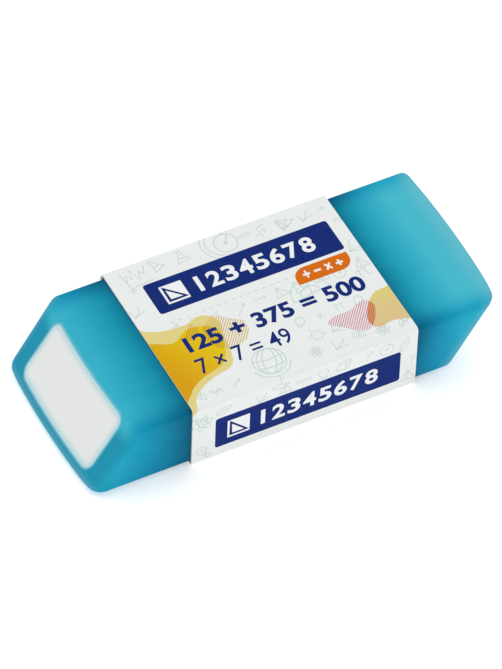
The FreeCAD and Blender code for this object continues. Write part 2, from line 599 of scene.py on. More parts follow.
# %% White vinyl
white_vinyl, tree, shader = new_material("white vinyl")
where, x, y, z = stick_place(tree)
border = noise(tree, where, 1500.0, 2.0) * 0.3 + core_distance(y, z)
tint = smooth_range(tree, border, -0.75, 0.2, 0.0, 0.8)
speckle = noise(tree, where, 6000.0, 3.0)
plain_white = mix_paint(tree, speckle, paint(226, 229, 228), paint(236, 238, 237))
tinted = mix_paint(tree, tint, plain_white, paint(166, 212, 219))
set_surface(tree, shader, tinted, smooth_range(tree, speckle, 0.3, 0.7, 0.68, 0.82), 0.3)
cut_marks = noise(tree, where, 2600.0, 2.0, (1.0, 0.05, 1.0))
bump(tree, shader, (cut_marks, 0.3, 0.00004), (speckle, 0.3, 0.00003))

# %% [markdown]
# Both pieces take their vinyl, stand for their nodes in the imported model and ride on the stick.

# %% The stick's pieces in place
teal_shell.data.materials.append(teal_vinyl)
white_bar.data.materials.append(white_vinyl)
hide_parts("coloured_shell")
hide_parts("white_core")
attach(teal_shell, "stick")
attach(white_bar, "stick")
print("the stick:", teal_shell.name, "and", white_bar.name)

# %% [markdown]
# ## The sleeve's blank
# The real sleeve starts as a flat printed sheet, which is creased four times and glued to
# itself. It is made the same way here: the print is laid out flat, then Geometry Nodes give
# the sheet its thickness and fold it. On the flat sheet x runs along the stick and y across
# the folds, with y = 0 in the middle of the top panel. Going down in y come the front panel,
# the underside and the outer flap, and going up comes the inner flap.

# %% Where the folds are on the flat sheet
BEND = FOLD * math.pi / 2
outer_flap_side = card_side + CARD + GLUE
top_edge = card_side - FOLD
front_height = card_ceiling - card_floor - 2 * FOLD
under_width = card_side + outer_flap_side - 2 * FOLD
flap_height = front_height - FLAP_GAP
front_start = -top_edge
under_start = front_start - BEND - front_height
flap_start = under_start - BEND - under_width
sheet_low = flap_start - BEND - flap_height
sheet_high = top_edge + BEND + flap_height
front_middle = front_start - BEND - front_height / 2
under_middle = under_start - BEND - under_width / 2
back_middle = flap_start - BEND - front_height / 2
print(f"flat sheet {sleeve_right - sleeve_left:.2f} x {sheet_high - sheet_low:.2f} mm")

# %% [markdown]
# The print is a list of ink shapes, each a polygon with the name of its ink. Where shapes
# overlap, the ink that comes later in the chart covers the others.

# %% Inks
INKS = {
    "bare": paint(234, 238, 236),
    "doodle": paint(196, 214, 211),
    "straw": paint(224, 210, 134),
    "tan": paint(220, 194, 142),
    "amber": paint(216, 158, 4),
    "amber lines": paint(212, 178, 100),
    "crimson lines": paint(210, 144, 158),
    "amber lines on yellow": paint(196, 146, 40),
    "crimson on tan": paint(214, 152, 106),
    "crimson lines on tan": paint(196, 112, 72),
    "navy": paint(8, 38, 114),
    "orange": paint(216, 106, 6),
    "white": paint(238, 241, 241),
    "navy detail": paint(8, 38, 114),
}
ink_order = list(INKS)
print("inks:", len(ink_order))

# %% [markdown]
# Each panel has its own corner to draw from, and the back panel is turned half round so that
# it reads the right way up. Lines are drawn as strips of quads with mitred joints.

# %% Drawing on a panel
shapes = []
BACK_START = 1.6  # twice the sleeve's middle, which the back panel is turned about
LINE_WIDTH = 0.12
PANELS = {
    "top": (0.0, 0.0, 1),
    "front": (0.0, front_middle, 1),
    "under": (0.0, under_middle, 1),
    "back": (BACK_START, back_middle, -1),
}
print("panels:", sorted(PANELS))


def on_sheet(panel, points):
    """Panel points moved to the flat sheet."""
    x0, y0, way = PANELS[panel]
    return [Vector((x0 + way * x, y0 + way * y)) for x, y in points]


def add_shape(ink, panel, points):
    """One polygon of ink, put in anticlockwise order."""
    spots = on_sheet(panel, points)
    area = sum(a.x * b.y - b.x * a.y for a, b in zip(spots, spots[1:] + spots[:1]))
    if abs(area) > 1e-5:
        shapes.append((ink, spots if area > 0 else spots[::-1]))


def add_line(ink, panel, points, width=LINE_WIDTH):
    """A drawn line, as quads that share their joints. It may close on itself."""
    spots = [Vector(p) for p in points]
    closed = (spots[0] - spots[-1]).length < 1e-6
    last = len(spots) - 1
    pairs = []
    for i, spot in enumerate(spots):
        before = spots[i - 1] if i else (spots[-2] if closed else None)
        after = spots[i + 1] if i < last else (spots[1] if closed else None)
        into = (spot - before).normalized() if before is not None else None
        out = (after - spot).normalized() if after is not None else into
        into = into if into is not None else out
        along = (into + out).normalized() if (into + out).length > 0.2 else out
        across = Vector((-along.y, along.x)) * width / 2
        across /= max(0.5, along.dot(out))
        pairs.append((spot + across, spot - across))
    for (a, b), (c, d) in zip(pairs, pairs[1:]):
        add_shape(ink, panel, [a, b, d, c])

# %% [markdown]
# Curves are plain lists of points: an arc or an ellipse, a box with rounded corners, and a
# smooth closed outline through a few knots.

# %% Curves
def arc(cx, cy, radius, start=0.0, turn=360.0, squash=1.0, lean=0.0, steps=16):
    """Points on an arc, or on an ellipse where it is squashed, with its long axis leaning."""
    points = []
    for step in range(steps + 1):
        angle = math.radians(start + turn * step / steps)
        spot = Vector((radius * math.cos(angle), radius * squash * math.sin(angle)))
        spot.rotate(Matrix.Rotation(math.radians(lean), 2))
        points.append((cx + spot.x, cy + spot.y))
    return points


def rounded_box(left, low, right, high, radii):
    """Points round a box whose corners have their own radii, from the lower left one on."""
    points = []
    corners = (
        (left, low, 1, 1, 180), (right, low, -1, 1, 270),
        (right, high, -1, -1, 0), (left, high, 1, -1, 90),
    )
    for (x0, y0, way_x, way_y, start), radius in zip(corners, radii):
        points += arc(x0 + way_x * radius, y0 + way_y * radius, radius, start, 90, steps=6)
    return points


def blob(*knots, steps=5):
    """A smooth closed outline through the knots."""
    spots = [Vector(k) for k in knots]
    count = len(spots)
    outline = []
    for i in range(count):
        p0, p1, p2, p3 = (spots[(i + k) % count] for k in (-1, 0, 1, 2))
        for step in range(steps):
            t = step / steps
            outline.append(0.5 * (
                2 * p1 + (p2 - p0) * t + (2 * p0 - 5 * p1 + 4 * p2 - p3) * t * t
                + (3 * p1 - p0 - 3 * p2 + p3) * t ** 3
            ))
    return outline


print("points on a rounded box:", len(rounded_box(0, 0, 1, 1, (0.1,) * 4)))

# %% [markdown]
# Numbers and signs come from Blender's own typeface. The text is turned to a mesh first, and
# its triangles are then stretched to fill a box on a panel. A little offset makes it bold.

# %% Numbers and signs
def lettering(ink, panel, words, box, weight=0.0):
    """Words that fill the box (left, low, right, high) on a panel."""
    font = bpy.data.curves.new("words", "FONT")
    font.body = words
    font.offset = weight
    font.resolution_u = 4
    flat = made_plain(link_object("words", font))
    left, low, right, high = box
    spots = [v.co.copy() for v in flat.vertices]
    low_x, high_x = min(p.x for p in spots), max(p.x for p in spots)
    low_y, high_y = min(p.y for p in spots), max(p.y for p in spots)
    scale_x = (right - left) / (high_x - low_x)
    scale_y = (high - low) / (high_y - low_y)
    placed = [(left + (p.x - low_x) * scale_x, low + (p.y - low_y) * scale_y) for p in spots]
    for face in flat.polygons:
        add_shape(ink, panel, [placed[i] for i in face.vertices])
    bpy.data.meshes.remove(flat)


print("shapes before any lettering:", len(shapes))

# %% [markdown]
# Stripes and ruler ticks repeat, so a small node tree stamps them: a row of points, a flat
# quad on each, and every so many quads drawn longer. The same tree makes the shading of the
# round patches and the ticks of the ruler. Its quads are read back as ink shapes.

# %% A node tree that stamps a row of marks
stamp_tree, given = new_tree("row of marks", {
    "Count": "Int", "Pitch": "Float", "Width": "Float", "Length": "Float",
    "Long Every": "Int", "Ink": "Material",
}, "Marks")
step = flow(stamp_tree, "ShaderNodeCombineXYZ", {"X": given["Pitch"]})
row_inputs = {"Count": given["Count"], "Offset": step}
row = flow(stamp_tree, "GeometryNodeMeshLine", row_inputs, mode="OFFSET")
quad = flow(stamp_tree, "GeometryNodeMeshGrid", {
    "Size X": given["Width"], "Size Y": given["Length"], "Vertices X": 2, "Vertices Y": 2,
})
up_half = flow(stamp_tree, "ShaderNodeCombineXYZ", {"Y": given["Length"] * 0.5})
standing = flow(stamp_tree, "GeometryNodeTransform", {"Geometry": quad, "Translation": up_half})
left_over = flow(stamp_tree, "GeometryNodeInputIndex").calc("MODULO", given["Long Every"])
stretch_y = left_over.calc("COMPARE", 0.0, 0.1) + 1.0
stretch = flow(stamp_tree, "ShaderNodeCombineXYZ", {"X": 1.0, "Y": stretch_y, "Z": 1.0})
stamped = flow(stamp_tree, "GeometryNodeInstanceOnPoints", {
    "Points": row, "Instance": standing, "Scale": stretch,
})
real = flow(stamp_tree, "GeometryNodeRealizeInstances", {0: stamped})
inked = flow(stamp_tree, "GeometryNodeSetMaterial", {"Geometry": real, "Material": given["Ink"]})
add_node(stamp_tree, "NodeGroupOutput", {"Marks": inked})
print("nodes in the row of marks:", len(stamp_tree.nodes))

# %% [markdown]
# The marks on the card are ink, so only the outlines of the stamped quads are kept.

# %% Stamp a row
ink_stand_in = bpy.data.materials.new("stamp ink")


def marks(ink, panel, start, lean, count, pitch, width, length, long_every=1000):
    """A row of marks from a start point, with the whole row turned by lean degrees."""
    values = {
        "Count": count, "Pitch": pitch, "Width": width, "Length": length,
        "Long Every": long_every, "Ink": ink_stand_in,
    }
    made = run_tree(stamp_tree, bpy.data.meshes.new("row"), values)
    turn = Matrix.Rotation(math.radians(lean), 2)
    for face in made.polygons:
        corners = [turn @ made.vertices[i].co.xy + Vector(start) for i in face.vertices]
        add_shape(ink, panel, corners)
    bpy.data.meshes.remove(made)


print("inputs of the row:", [item.name for item in stamp_tree.interface.items_tree])

# %% [markdown]
# The same banner is on the top, the front and the back: a navy bar with a set square in a
# white box and a row of bold numbers.

# %% Banners
BANNER_LONG = 23.0
BANNER_HIGH = 4.75
BANNER_CORNER = 0.35
BOX_FROM_LEFT = 1.5        # the white box in the banner
BOX_FROM_LOW = 1.0
BOX_SIDE = 2.75
BOX_CORNER = 0.08
SQUARE_INSET = 0.42        # the set square in the box
SQUARE_SIDE = 1.95
SQUARE_LINE = 0.34
DIGIT_START = 5.9          # middle of the first number
DIGIT_PITCH = 1.93
DIGIT_HALF = 0.8           # half the width of a number
ONE_HALF = 0.27            # and of the narrow 1
DIGIT_LOW = 1.2
DIGIT_HIGH = 3.5
DIGIT_WEIGHT = 0.028


def banner(panel, left, low):
    """The navy bar with its white box, its set square and the numbers 1 to 8."""
    right, high = left + BANNER_LONG, low + BANNER_HIGH
    add_shape("navy", panel, rounded_box(left, low, right, high, (BANNER_CORNER,) * 4))
    box_left, box_low = left + BOX_FROM_LEFT, low + BOX_FROM_LOW
    box_right, box_high = box_left + BOX_SIDE, box_low + BOX_SIDE
    box = rounded_box(box_left, box_low, box_right, box_high, (BOX_CORNER,) * 4)
    add_shape("white", panel, box)
    corner = Vector((box_left + SQUARE_INSET, box_low + SQUARE_INSET))
    legs = [corner + Vector((SQUARE_SIDE, 0)), corner + Vector((0, SQUARE_SIDE))]
    add_line("navy detail", panel, [corner] + legs + [corner], SQUARE_LINE)
    for digit in range(8):
        middle = left + DIGIT_START + digit * DIGIT_PITCH
        half = ONE_HALF if digit == 0 else DIGIT_HALF
        place = (middle - half, low + DIGIT_LOW, middle + half, low + DIGIT_HIGH)
        lettering("white", panel, str(digit + 1), place, DIGIT_WEIGHT)


banner("top", -9.95, 2.86)
banner("front", -10.3, -2.97)
banner("back", -11.5, -2.4)
print("shapes in the banners:", len(shapes))

# %% [markdown]
# Under the top banner there is an orange pill with the four signs of arithmetic, rounded at
# two opposite corners, and two sums, one bold and one thin.

# %% Pill and sums
add_shape("orange", "top", rounded_box(5.9, 0.12, 12.9, 2.42, (0.12, 1.6, 0.12, 1.6)))
lettering("white", "top", "+ − × ÷", (6.95, 0.72, 11.9, 1.87), 0.03)
lettering("navy detail", "top", "125 + 375 = 500", (-9.6, -3.65, 12.6, -1.3), 0.034)
lettering("navy detail", "top", "7 × 7 = 49", (-9.8, -7.0, 1.6, -4.7), 0.006)
print("shapes so far:", len(shapes))

# %% [markdown]
# Coloured blobs come in from both edges of the top panel, and hatched patches lie across
# them. A patch is a row of slanting stripes that is only inked inside its outline.

# %% Blobs and hatched patches
add_shape("straw", "top", blob(
    (-14.5, 1.7), (-12.6, 1.3), (-11, 0.6), (-8.2, 0.35), (-6.4, 0.9), (-5.0, 0.2),
    (-4.6, -1.2), (-5.1, -3), (-5.4, -5.2), (-6.3, -7.2), (-8.8, -7.9), (-10.8, -8.8),
    (-12.1, -10.0), (-12.7, -11.3), (-14.5, -11.7),
))
add_shape("amber", "top", blob(
    (-14.5, -0.3), (-12.8, -0.6), (-10.6, -1.5), (-8.6, -0.4), (-6.6, -0.6), (-5.3, -1.7),
    (-5.6, -4), (-6.9, -6.4), (-9.8, -7.4), (-11.5, -8.3), (-12.8, -9.6), (-14.5, -10.5),
))
add_shape("tan", "top", blob(
    (16.0, -3.9), (14.4, -4.2), (12.9, -4.4), (11.5, -5.6), (10.3, -7.8), (10.9, -9.2),
    (12.8, -9.0), (14.6, -9.5), (16.0, -9.8),
))
add_shape("amber mask", "top", arc(-4.6, -2.4, 2.55, steps=28)[:-1])
add_shape("amber mask", "top", arc(-8.6, -0.6, 1.35, steps=20)[:-1])
add_shape("crimson mask", "top", blob(
    (6.0, -6.4), (7.2, -5.7), (9.2, -5.6), (11.1, -4.9), (12.0, -5.9), (11.3, -7.6),
    (10.0, -9.0), (8.6, -8.7), (7.4, -7.6),
))
STRIPE_LEAN = -38
STRIPE_WIDTH = 0.12
STRIPE_LENGTH = 7.5
marks("amber stripe", "top", (-11.2, -4.2), STRIPE_LEAN, 44, 0.27, STRIPE_WIDTH, STRIPE_LENGTH)
marks("crimson stripe", "top", (3.6, -7.6), STRIPE_LEAN, 42, 0.25, STRIPE_WIDTH, STRIPE_LENGTH)
print("shapes with the blobs and the patches:", len(shapes))

# %% [markdown]
# Faint schoolbook drawings cover the bare card: graphs, flasks, a globe and so on. Each is a
# few strokes in a unit square, so it can be drawn at any size.

# %% Schoolbook drawings
WAVE = [(t / 6 - 1, 0.5 * math.sin(t * 0.9)) for t in range(13)]
ZIGZAG = [
    (-1, -0.3), (-0.7, 0.5), (-0.45, -0.1), (-0.2, 0.9),
    (0.1, -0.4), (0.35, 0.35), (0.6, 0), (1, 0.6),
]
DRAWINGS = {
    "triangle": [
        [(-0.9, -0.7), (0.9, -0.7), (-0.2, 0.8), (-0.9, -0.7)], [(-0.2, 0.8), (-0.2, -0.7)],
    ],
    "circle": [arc(0, 0, 0.8, steps=18), [(0, 0), (0.6, 0.52)], arc(0, 0, 0.12, steps=5)],
    "chart": [[(-1, -0.9), (-1, 0.9)], [(-1, -0.9), (1, -0.9)], ZIGZAG],
    "graph": [
        [(-0.8, -0.9), (-0.8, 0.9)], [(-1, -0.7), (1, -0.7)],
        [(-0.7 + t / 6, -0.6 + t * t / 70) for t in range(10)],
    ],
    "sine": [WAVE, [(-1.1, 0), (1.1, 0)]],
    "flask": [
        [(-0.2, 0.9), (-0.2, 0.3), (-0.8, -0.8), (0.8, -0.8), (0.2, 0.3), (0.2, 0.9)],
        [(-0.35, 0.9), (0.35, 0.9)], [(-0.5, -0.25), (0.5, -0.25)],
    ],
    "atom": [
        *(arc(0, 0, 1.0, squash=0.36, lean=turn, steps=14) for turn in (0, 60, 120)),
        arc(0, 0, 0.12, steps=5),
    ],
    "cube": [
        [(-0.8, -0.8), (0.3, -0.8), (0.3, 0.3), (-0.8, 0.3), (-0.8, -0.8)],
        [(-0.8, 0.3), (-0.3, 0.8), (0.8, 0.8), (0.8, -0.3), (0.3, -0.8)],
        [(0.3, 0.3), (0.8, 0.8)],
    ],
    "root": [
        [(-0.9, 0), (-0.7, 0.1), (-0.45, -0.7), (-0.1, 0.8), (0.9, 0.8)],
        [(0.15, 0.3), (0.6, -0.4)], [(0.15, -0.4), (0.6, 0.3)],
    ],
    "pi": [
        [(-0.8, 0.5), (0.8, 0.5)], [(-0.35, 0.5), (-0.45, -0.7)],
        [(0.35, 0.5), (0.35, -0.5), (0.6, -0.7)],
    ],
    "hexagon": [arc(0, 0, 0.7, steps=6), [(0.7, 0), (1.1, 0)], [(-0.35, 0.6), (-0.6, 1.0)]],
    "protractor": [
        arc(0, -0.4, 0.95, 0, 180, steps=12) + [(0.95, -0.4)],
        arc(0, -0.4, 0.5, 0, 180, steps=8), [(0, -0.4), (0.3, 0.5)],
    ],
    "bulb": [
        arc(0, 0.2, 0.6, -60, 300, steps=14),
        [(-0.3, -0.35), (-0.3, -0.8), (0.3, -0.8), (0.3, -0.35)], [(-0.3, -0.58), (0.3, -0.58)],
    ],
    "spring": [[(t / 8 - 1, 0.35 if t % 2 else -0.35) for t in range(17)]],
    "arrow": [[(-0.9, -0.5), (0.8, 0.5)], [(0.35, 0.55), (0.8, 0.5), (0.6, 0.1)]],
    "plus": [[(-0.5, 0), (0.5, 0)], [(0, -0.5), (0, 0.5)]],
    "leaf": [blob((-0.9, -0.5), (-0.2, 0.5), (0.9, 0.7), (0.3, -0.4)), [(-0.9, -0.5), (0.5, 0.4)]],
    "globe": [
        arc(0, 0, 1.0, steps=24),
        *(arc(0, 0, 1.0, squash=squash, lean=75, steps=18) for squash in (0.4, 0.75)),
        [(-0.98, 0.25), (0, 0.12), (0.98, 0.2)], [(-0.9, -0.4), (0, -0.5), (0.9, -0.42)],
        arc(0, 0, 1.25, 200, 140, steps=14), [(0, -1.25), (0, -1.8)],
        arc(0, -1.9, 0.55, squash=0.3, steps=10),
    ],
}
print("drawings:", len(DRAWINGS))

# %% [markdown]
# The large drawings are placed one by one where the lettering leaves room, with two arcs round
# the circle and a dashed line across the top panel.

# %% Drawings placed one by one


def draw(name, panel, x, y, size=1.2, lean=0.0, width=LINE_WIDTH):
    """One drawing, that many millimetres in half width."""
    turn = Matrix.Rotation(math.radians(lean), 2) * size
    for stroke in DRAWINGS[name]:
        points = [turn @ Vector(p) + Vector((x, y)) for p in stroke]
        add_line("doodle", panel, points, width)


draw("globe", "top", -2.3, -8.4, 1.9)
draw("chart", "top", -9.8, 9.2, 1.5, 8)
draw("circle", "top", 1.4, 9.4, 1.7, 20)
draw("protractor", "top", 6.4, -0.6, 2.5, 10)
draw("triangle", "top", 8.6, 9.4, 1.1, 35)
draw("pi", "top", 13.2, -1.2, 1.0, 12)
draw("atom", "front", -11.9, 1.9, 1.25, 15)
draw("hexagon", "front", -11.2, -3.6, 0.5)
for ring in (1.5, 2.0):
    add_line("doodle", "top", arc(0.6, 9.6, ring, 20, 250, squash=1.2, lean=15, steps=20))
DASHES = 24
DASH_PITCH = 0.95
DASH_RISE = 0.02
for dash in range(DASHES):
    y = 1.3 + dash * DASH_RISE
    ends = [(-9.5 + dash * DASH_PITCH, y), (-9.0 + dash * DASH_PITCH, y)]
    add_line("doodle", "top", ends, 0.11)
print("shapes with the drawings placed by hand:", len(shapes))

# %% [markdown]
# The small drawings are strewn over a loose grid on every panel, each with its own nudge,
# lean and size. A box gives its left, low, right and high sides, and keeps them out.

# %% Drawings strewn over the card
KEEP_CLEAR = {
    "top": (
        (-10.8, 1.9, 13.8, 8.7), (-10.2, -4.6, 13.2, -0.4), (-10.2, -7.6, 3.2, -4.0),
        (-5.2, -11.5, 0.6, -6.0), (-12.2, 7.4, -7.6, 11), (-1.8, 7.4, 3.4, 11.5),
        (11.8, -2.6, 14.4, 0.2),
    ),
    "front": ((-11.2, -3.9, 13.6, 2.6),),
    "under": ((-11.4, -4.9, 13.0, 4.4),),
    "back": ((-12.4, -3.3, 12.4, 3.2),),
}
HALF_HIGH = {
    "top": card_side - 0.4,
    "front": front_height / 2,
    "under": under_width / 2,
    "back": flap_height / 2,
}
ROW_HEIGHT = 2.5
COLUMNS = 11
COLUMN_WIDTH = 2.55
strewn = random.Random(7)
names = [name for name in DRAWINGS if name not in ("globe", "chart")]
for panel, half_high in HALF_HIGH.items():
    rows = max(2, round(2 * half_high / ROW_HEIGHT))
    for line in range(rows):
        y = half_high * (2 * (line + 0.5) / rows - 1)
        for column in range(COLUMNS):
            x = -12.0 + COLUMN_WIDTH * column + (1.2 if line % 2 else 0.0)
            name = strewn.choice(names)
            nudge = (strewn.uniform(-0.4, 0.4), strewn.uniform(-0.35, 0.35))
            lean, size = strewn.uniform(-35, 35), strewn.uniform(0.72, 1.05)
            spot = (x + nudge[0], y + nudge[1])
            blocked = any(a < spot[0] < c and b < spot[1] < d for a, b, c, d in KEEP_CLEAR[panel])
            if not blocked:
                draw(name, panel, *spot, size, lean, 0.1)
print("shapes with the strewn drawings:", len(shapes))

# %% [markdown]
# The underside carries a ruler with millimetre ticks, longer and numbered at every fifth, and
# two rows of products from the times tables.

# %% The underside's ruler and numbers
RULER_START = -11.0
RULER_LOW = -4.4
THIN = 0.01  # weight of the numbers
marks("navy detail", "under", (RULER_START, RULER_LOW), 0, 25, 1.0, 0.14, 0.8, 5)
add_line("navy detail", "under", [(-11.2, RULER_LOW), (13.2, RULER_LOW)], 0.16)
for fifth in range(5):
    middle = RULER_START + 5 * fifth
    label = str(fifth * 5)
    half = 0.42 * len(label)
    lettering("navy detail", "under", label, (middle - half, -2.5, middle + half, -1.2), THIN)
for line in range(2):
    low = 0.2 + 2.2 * line
    high = 1.6 + 2.2 * line
    for column in range(6):
        product = str((line + 2) * (column + 4))
        left = -10.6 + 4.0 * column
        right = left + 0.95 * len(product)
        lettering("navy detail", "under", product, (left, low, right, high), THIN)
print("ink shapes:", len(shapes))

# %% [markdown]
# All the shapes are pressed into one flat mesh by a constrained triangulation. It cuts the
# sheet along every edge of every shape and says which shapes lie over each triangle, so each
# triangle can take the ink on top. Extra points keep the triangles even, and lines across the
# sheet give the folds something to bend along.

# %% Press the ink into a flat sheet
FOLD_STEPS = 7       # lines across each fold
EVEN_COLUMNS = 20    # the extra points
EVEN_LINES = 40
WELD = 1e-5          # closer points become one
points = [
    Vector((sleeve_left, sheet_low)), Vector((sleeve_right, sheet_low)),
    Vector((sleeve_right, sheet_high)), Vector((sleeve_left, sheet_high)),
]
faces = [[0, 1, 2, 3]]
edges = []
for start, way in ((top_edge, 1), (front_start, -1), (under_start, -1), (flap_start, -1)):
    for step in range(FOLD_STEPS + 1):
        y = start + way * BEND * step / FOLD_STEPS
        edges.append((len(points), len(points) + 1))
        points += [Vector((sleeve_left, y)), Vector((sleeve_right, y))]
for column in range(1, EVEN_COLUMNS):
    x = sleeve_left + (sleeve_right - sleeve_left) * column / EVEN_COLUMNS
    for line in range(1, EVEN_LINES):
        y = sheet_low + (sheet_high - sheet_low) * line / EVEN_LINES
        points.append(Vector((x, y)))
owner = ["sheet"]
for ink, spots in shapes:
    faces.append(list(range(len(points), len(points) + len(spots))))
    owner.append(ink)
    points += spots
cut_points, _, cut_faces, _, _, cut_owners = delaunay_2d_cdt(points, edges, faces, 0, WELD)
on_card = [pair for pair in zip(cut_faces, cut_owners) if 0 in pair[1]]
used = sorted({corner for face, _ in on_card for corner in face})
renumbered = {old: new for new, old in enumerate(used)}
sheet_points = [cut_points[old] for old in used]
sheet_faces = [[renumbered[corner] for corner in face] for face, _ in on_card]
face_owners = [owners for _, owners in on_card]
print("sheet triangles:", len(sheet_faces))

# %% [markdown]
# Stripes only take where their patch is, and they mix with a blob below them, as thin inks
# do. Amber and tan run to yellow across their blobs.

# %% The ink of each triangle
YELLOW = paint(226, 194, 16)
PALE_TAN = paint(220, 205, 124)


def top_ink(owners):
    """The ink that shows on a triangle that lies under those shapes."""
    inks = {owner[i] for i in owners}
    for colour, ground, name in (("amber", "amber", " on yellow"), ("crimson", "tan", " on tan")):
        if colour + " mask" in inks and colour + " stripe" in inks:
            inks.add(colour + " lines" + (name if ground in inks else ""))
    if {"crimson mask", "tan"} <= inks:
        inks.add("crimson on tan")
    known = [ink_order.index(ink) for ink in inks if ink in INKS]
    return ink_order[max(known)] if known else "bare"


def ink_colour(ink, spot):
    """An ink's colour at a place on the sheet."""
    if ink == "amber":
        share, far_ink = (spot.x + 12.5) / 6.5 + (spot.y + 6.0) / 14.0, YELLOW
    elif ink == "tan":
        share, far_ink = (spot.y + 8.5) / 4.5, PALE_TAN
    else:
        return INKS[ink]
    share = min(1.0, max(0.0, share))
    return tuple(a + (b - a) * share for a, b in zip(INKS[ink], far_ink))


sheet_mesh = bpy.data.meshes.new("printed sheet")
sheet_mesh.from_pydata([(p.x * MM, p.y * MM, 0) for p in sheet_points], [], sheet_faces)
layer = sheet_mesh.color_attributes.new(name="ink", type="FLOAT_COLOR", domain="CORNER")
count = {}
for face, owners in zip(sheet_mesh.polygons, face_owners):
    ink = top_ink(owners)
    count[ink] = count.get(ink, 0) + 1
    for loop in face.loop_indices:
        layer.data[loop].color = ink_colour(ink, sheet_points[sheet_mesh.loops[loop].vertex_index])
print("triangles of each ink:", count)

# %% [markdown]
# ## Folding
# One crease is a small node group. Points past the fold line are wound round the fold's
# inner radius and then carry on straight. A node group can be used again with other inputs,
# so the sleeve's tree is a thickness step and four creases: the inner flap first, then the
# outer flap, the underside and the front, each carrying what is already folded.

# %% The crease
crease, given = new_tree("crease", {
    "Card": "Geometry", "Fold Line": "Float", "Side": "Float", "Inner Radius": "Float",
}, "Card")
radius = given["Inner Radius"]
side = given["Side"]
position = flow(crease, "GeometryNodeInputPosition")
parts = flows(crease, "ShaderNodeSeparateXYZ", {0: position})
past = (parts["Y"] - given["Fold Line"]) * side
wound = past.at_least(0.0)
angle = (wound / radius).at_most(math.pi / 2)
straight = wound - angle * radius
sine = angle.calc("SINE")
cosine = angle.calc("COSINE")
arm = radius + parts["Z"]
reach = past.at_most(0.0) + (arm * sine + straight * cosine)
across = reach * side + given["Fold Line"]
height = arm * cosine - straight * sine - radius
folded = flow(crease, "ShaderNodeCombineXYZ", {0: parts["X"], 1: across, 2: height})
worn = flow(
    crease, "GeometryNodeInputNamedAttribute", {"Name": "bend"}, "Attribute", data_type="FLOAT"
)
bend = (angle * 2.0).calc("SINE").at_least(worn)
marked = flow(
    crease, "GeometryNodeStoreNamedAttribute",
    {"Geometry": given["Card"], "Name": "bend", "Value": bend},
    data_type="FLOAT", domain="POINT",
)
moved = flow(crease, "GeometryNodeSetPosition", {"Geometry": marked, "Position": folded})
add_node(crease, "NodeGroupOutput", {"Card": moved})
print("nodes in a crease:", len(crease.nodes))

# %% [markdown]
# Coated card is white board with a smooth printed face. The ink is an attribute of the mesh.
# Over it go a faint mottle of fibres, a slight gloss that breaks up where the coat is thin,
# and pale cracks in the ink along the folds, where the coat has split.

# %% Printed card
printed_card, tree, shader = new_material("printed card")
where = object_place(tree)
ink = flow(tree, "ShaderNodeAttribute", None, "Color", attribute_name="ink")
bend = flow(tree, "ShaderNodeAttribute", None, "Fac", attribute_name="bend")
fibres = noise(tree, where, 5000.0, 4.0, (0.5, 1.0, 1.0))
clouds = noise(tree, where, 420.0, 2.0)
mottle = (fibres + clouds) * 0.05 + 0.95
grey = flow(tree, "ShaderNodeCombineXYZ", {0: mottle, 1: mottle, 2: mottle})
toned = mix_paint(tree, 1.0, ink, grey, "MULTIPLY")
cracks = smooth_range(tree, noise(tree, where, 2600.0, 4.0, (0.4, 1.0, 1.0)), 0.5, 0.66)
wear = smooth_range(tree, bend, 0.4, 1.0, 0.0, 0.7) * cracks
worn = mix_paint(tree, wear, toned, paint(240, 240, 236))
set_surface(tree, shader, worn, smooth_range(tree, clouds, 0.3, 0.7, 0.36, 0.5), 0.06)
ripple = noise(tree, where, 180.0, 2.0)
bump(tree, shader, (ripple, 0.2, 0.0002), (fibres, 0.18, 0.00003))

# %% [markdown]
# The inside and the cut edges are raw board, dull and fibrous with a few specks. The glue has
# dried to a yellowish film with streaks from the roller.

# %% Raw card and dry glue
raw_card, tree, shader = new_material("raw card")
where = object_place(tree)
fibres = noise(tree, where, 4200.0, 5.0, (0.4, 1.0, 1.0))
specks = smooth_range(tree, noise(tree, where, 1400.0, 3.0), 0.62, 0.75, 0.0, 0.5)
board = mix_paint(tree, fibres, paint(214, 211, 202), paint(232, 230, 223))
specked = mix_paint(tree, specks, board, paint(196, 190, 176))
set_surface(tree, shader, specked, smooth_range(tree, fibres, 0.3, 0.7, 0.8, 0.95))
bump(tree, shader, (fibres, 0.5, 0.00004))

dry_glue, tree, shader = new_material("dry glue")
where = object_place(tree)
streaks = noise(tree, where, 900.0, 3.0, (0.2, 1.0, 1.0))
film = mix_paint(tree, streaks, paint(205, 199, 176), paint(224, 219, 200))
set_surface(tree, shader, film, smooth_range(tree, streaks, 0.3, 0.7, 0.3, 0.55))
bump(tree, shader, (streaks, 0.4, 0.00003))
glue_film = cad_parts["seam_glue"]
glue_film.data.materials.clear()
glue_film.data.materials.append(dry_glue)

# %% [markdown]
# The sleeve's own tree: the sheet is pushed out to the card's thickness and closed with a
# turned copy, then creased, lifted to its height and given its two materials. The cut edges
# and the inside are raw card.

